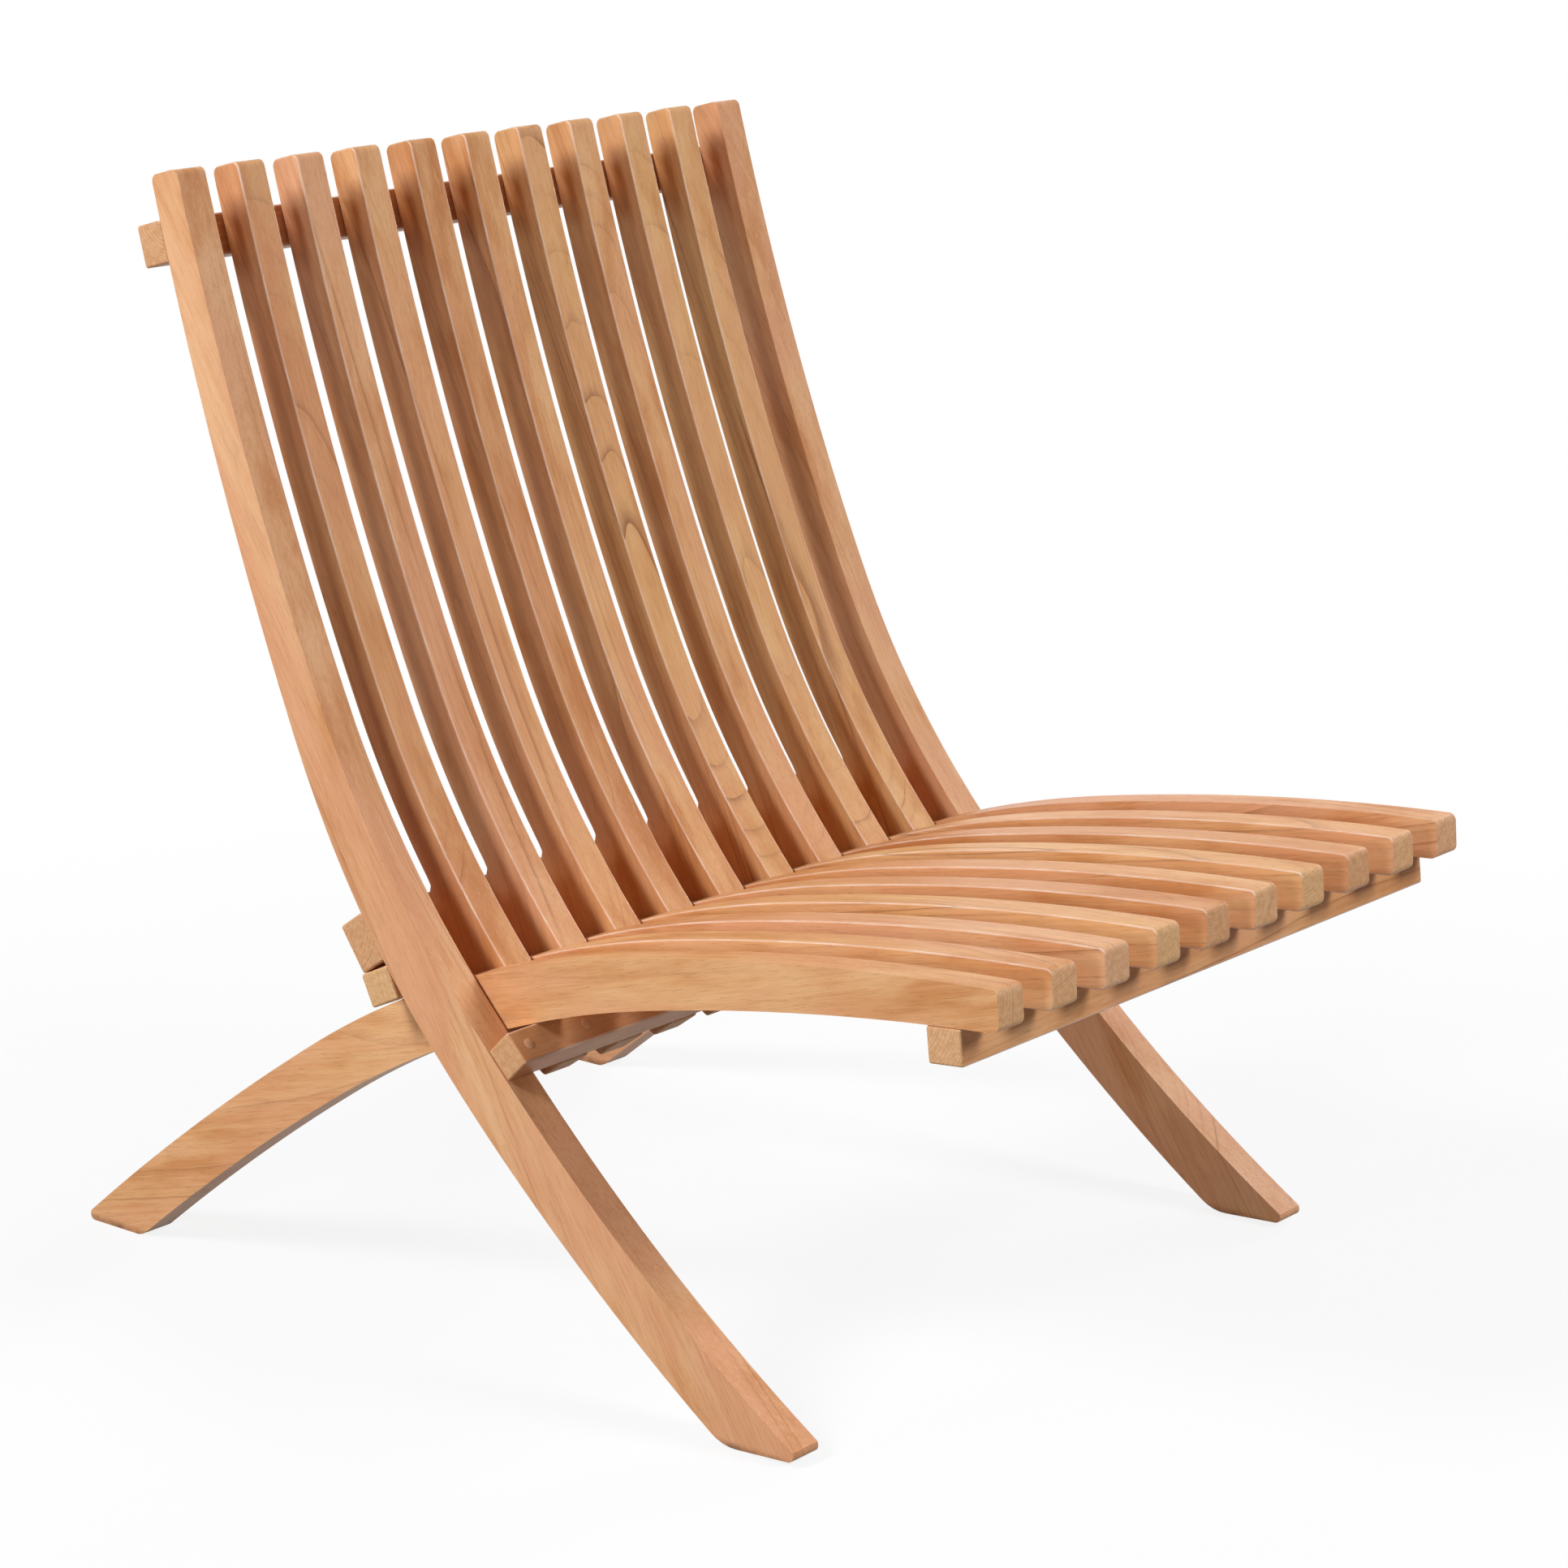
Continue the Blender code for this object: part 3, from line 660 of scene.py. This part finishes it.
def plug_row(name, body, rail, places):
    face, outward = rail
    tilt = outward.to_track_quat("Z", "Y").to_matrix().to_4x4()
    bpy.ops.object.select_all(action="DESELECT")
    bpy.ops.mesh.primitive_cylinder_add(
        vertices=PLUG_SIDES, radius=PLUG_RADIUS, depth=PLUG_LENGTH, location=(0, 0, 0)
    )
    model = bpy.context.object
    bpy.ops.object.mode_set(mode="EDIT")
    bpy.ops.mesh.select_all(action="SELECT")
    bpy.ops.mesh.bevel(offset=PLUG_ARRIS, segments=2)
    bpy.ops.object.mode_set(mode="OBJECT")
    bpy.ops.object.shade_smooth_by_angle(angle=math.radians(40))
    for number, x in enumerate(places, start=1):
        middle = face + Vector((x, 0, 0)) - outward * (PLUG_LENGTH / 2 - PLUG_PROUD)
        plug = copied(model, f"{name}_{number:02d}", Matrix.Translation(middle) @ tilt)
        way = luck.uniform(-0.5, 0.5)
        across = (1, way * outward.z, -way * outward.y)
        from_board(plug, along=across, cast=luck.choice(["pink", "brown", "honey"]),
                   turn=luck.uniform(0, 180), pith=0.05, face=outward)
        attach(plug, body)
    bpy.data.objects.remove(model, do_unlink=True)


back_places = [(number - 5) * PITCH for number in range(11)]
seat_places = [(number - 4.5) * PITCH for number in range(10)]
plug_row("top_rail_plug", "back_frame", top_rail, back_places)
plug_row("lower_rail_plug", "back_frame", lower_rail, back_places)
plug_row("under_rail_plug", "back_frame", under_rail, back_places)
plug_row("front_rail_plug", "seat_frame", front_rail, seat_places)
plug_row("rear_rail_plug", "seat_frame", rear_rail, seat_places)


# Pivot rod
# A plain steel bar through every slat at the crossing, hidden in blind holes in the outer two.
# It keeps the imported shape, with the fine rings that a lathe leaves.

steel = bpy.data.materials.new("turned_steel")
start = bare(steel)
place = start.node("ShaderNodeTexCoord", {}, {}, "Object")
turned = place.stretched(4000, 30, 30).noise()
dull = place.stretched(60, 60, 60).noise(3.0).between(0.3, 0.7)
surface(
    start,
    Base_Color=dull.choose((0.56, 0.57, 0.58), (0.46, 0.46, 0.47)),
    Metallic=1.0,
    Roughness=0.30 + turned * 0.12,
    Normal=turned.bump(strength=0.2, distance=0.0001),
)
for holder in frame["nodes"]["pivot_rod"].material_slots:
    holder.material = steel


# Studio
# White paper that keeps a soft shadow, with white all round. Three lamps stand on the left, one
# on the right, one high in front, one behind, and a small one by the camera.

FLOOR_SIZE = 60
LAMP_COLOUR = (1.0, 1.02, 1.08)
LAMP_AIM = Vector((0, 0, 0.4))


def shown(start):
    """1 where the camera, gloss or glass looks, and 0 for the light that reaches the chair."""
    kinds = ("Is Camera Ray", "Is Glossy Ray", "Is Transmission Ray")
    camera, glossy, through = (start.node("ShaderNodeLightPath", {}, {}, kind) for kind in kinds)
    return camera.math("MAXIMUM", glossy).math("MAXIMUM", through)


bpy.ops.object.select_all(action="DESELECT")
bpy.ops.mesh.primitive_plane_add(size=FLOOR_SIZE, location=(0, 0, 0))
floor = bpy.context.object
floor.name = "floor"
paper = bpy.data.materials.new("paper")
start = bare(paper)
dim = start.node("ShaderNodeBsdfDiffuse", {}, {"Color": (0.22, 0.22, 0.22, 1)})
lit = start.node("ShaderNodeBsdfDiffuse", {}, {"Color": (0.90, 0.90, 0.90, 1)})
white = start.node("ShaderNodeEmission", {}, {"Color": (1, 1, 1, 1), "Strength": 1.0})
away = start.node("ShaderNodeTexCoord", {}, {}, "Object").length().between(0.6, 1.5)
sheet = start.node("ShaderNodeMixShader", {}, {0: 0.86 + 0.14 * away, 1: lit, 2: white})
sheet = start.node("ShaderNodeMixShader", {}, {0: shown(start), 1: dim, 2: sheet})
start.node("ShaderNodeOutputMaterial", {}, {"Surface": sheet})
floor.data.materials.append(paper)

world = bpy.data.worlds.new("studio")
bpy.context.scene.world = world
start = bare(world)
soft = start.node("ShaderNodeBackground", {}, {"Color": (1, 0.9, 0.8, 1), "Strength": 0.02})
plain = start.node("ShaderNodeBackground", {}, {"Color": (1, 1, 1, 1), "Strength": 1.0})
sky = start.node("ShaderNodeMixShader", {}, {0: shown(start), 1: soft, 2: plain})
start.node("ShaderNodeOutputWorld", {}, {"Surface": sky})


def lamp(name, place, size, power):
    data = bpy.data.lights.new(name, "AREA")
    data.shape = "RECTANGLE"
    data.size, data.size_y = size
    data.energy = power
    data.color = LAMP_COLOUR
    made = bpy.data.objects.new(name, data)
    bpy.context.scene.collection.objects.link(made)
    made.location = place
    made.rotation_euler = (LAMP_AIM - Vector(place)).to_track_quat("-Z", "Y").to_euler()


lamp("high_left_lamp", place=(-3.6, 1.65, 3.6), size=(1.5, 1.5), power=178)
lamp("low_left_lamp", place=(-4.9, -1.1, 1.2), size=(0.8, 0.8), power=46)
lamp("rear_left_lamp", place=(-4.2, 3.1, 1.3), size=(1.0, 1.2), power=34)
lamp("front_lamp", place=(1.3, -4.0, 3.2), size=(1.6, 1.6), power=148)
lamp("camera_lamp", place=(-3.2, -3.0, 2.4), size=(0.6, 0.6), power=5)
lamp("rear_lamp", place=(3.2, 4.0, 2.2), size=(1.6, 1.6), power=30)
lamp("right_lamp", place=(4.6, 0.4, 1.5), size=(1.0, 1.0), power=85)


# Camera
# It stands where the photograph's lines put it, in front of the chair and to the left, a little
# above it. The photograph is cropped, so the lens is shifted down a little.

IMAGE = 1932
SENSOR = 36
FOCAL_PIXELS = 5396
CENTRE_ROW = 780
CAMERA_FROM_PIVOT = Vector((-2.338, -2.008, 0.905))
AZIMUTH, ELEVATION, ROLL = math.radians(-50.18), math.radians(12.61), math.radians(-0.42)

camera = bpy.data.objects.new("camera", bpy.data.cameras.new("camera"))
bpy.context.scene.collection.objects.link(camera)
aimed = Matrix.Rotation(AZIMUTH, 4, "Z") @ Matrix.Rotation(math.pi / 2 - ELEVATION, 4, "X")
camera.rotation_euler = (aimed @ Matrix.Rotation(ROLL, 4, "Z")).to_euler()
camera.location = PIVOT + CAMERA_FROM_PIVOT
camera.data.sensor_width = SENSOR
camera.data.lens = SENSOR * FOCAL_PIXELS / IMAGE
camera.data.shift_y = -(IMAGE / 2 - CENTRE_ROW) / IMAGE
camera.data.clip_end = 100
bpy.context.scene.camera = camera
bpy.context.scene.view_settings.view_transform = "Standard"
